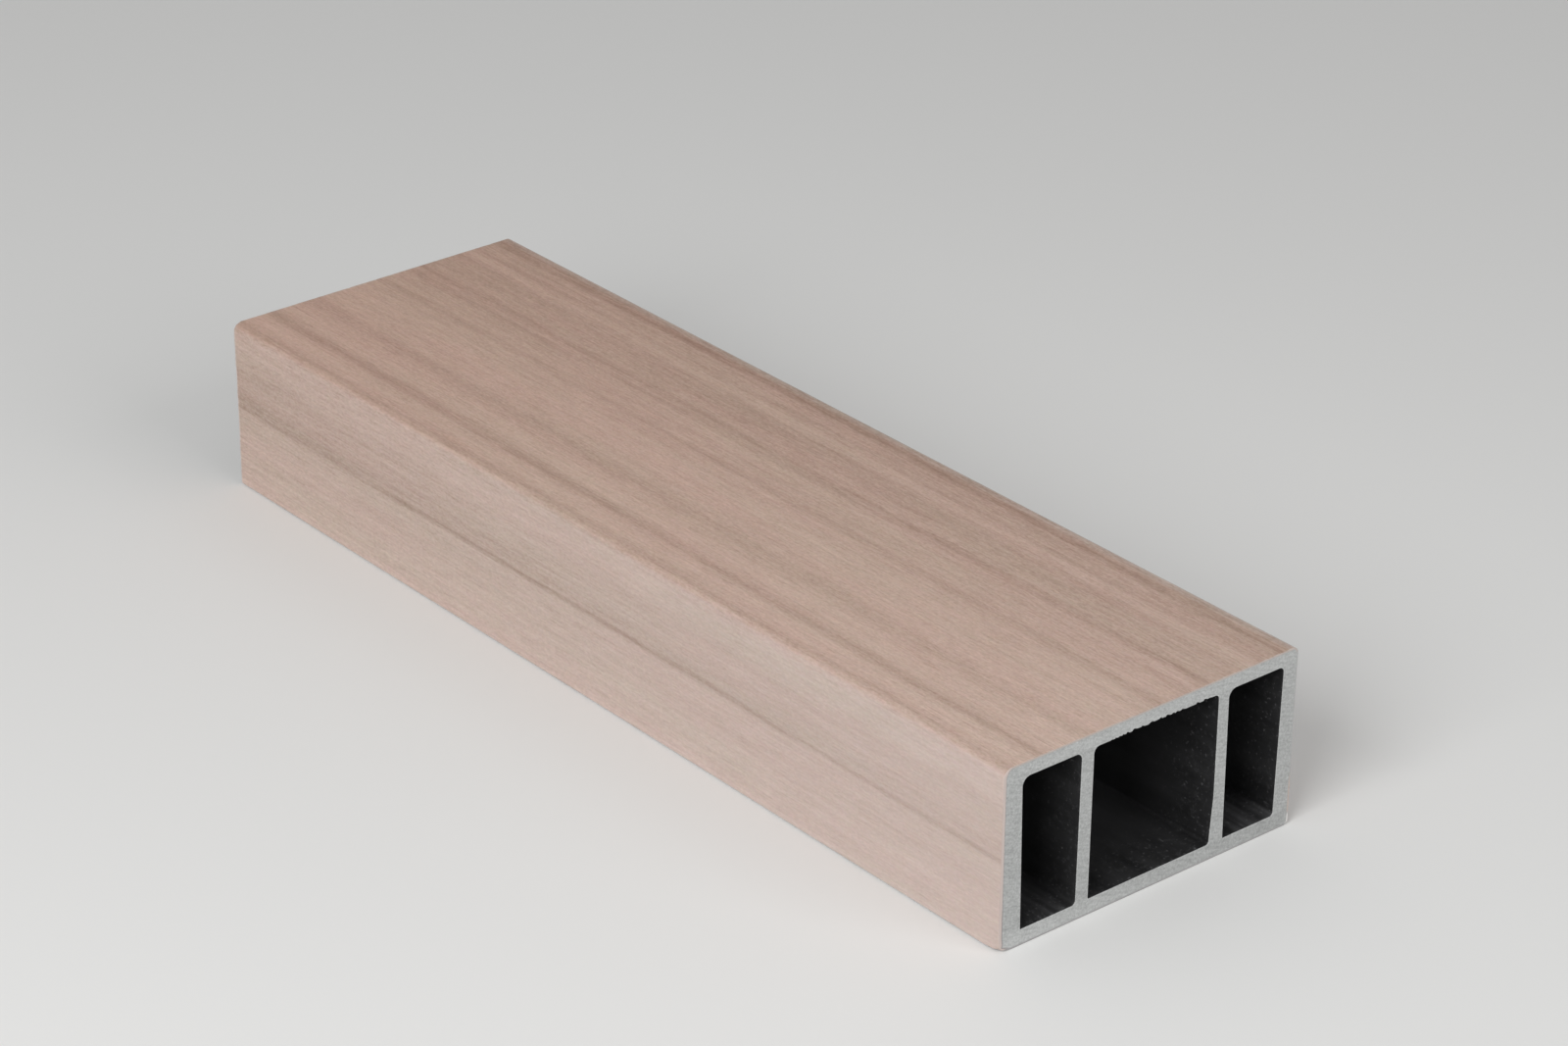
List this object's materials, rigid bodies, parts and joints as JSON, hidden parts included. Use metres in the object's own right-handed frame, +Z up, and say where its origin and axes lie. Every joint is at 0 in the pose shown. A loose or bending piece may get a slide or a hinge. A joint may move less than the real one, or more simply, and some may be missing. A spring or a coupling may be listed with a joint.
{
  "type": "composite beam",
  "caption": "Short cut length of hollow composite beam, a flat rectangular extrusion with chambers right through and a wood-look outer skin.",
  "frame": {"origin": "on the base, under the middle of the beam", "axes": "+X along the beam towards the cut end that the picture shows, +Y across its width, +Z up from the wide face that it lies on"},
  "size_m": [0.332, 0.1, 0.052],
  "materials": {
    "composite": "matte wood-look skin over a pale grey core, with dark chamber walls"
  },
  "bodies": {
    "root": {"beam": "composite"}
  },
  "joints": []
}
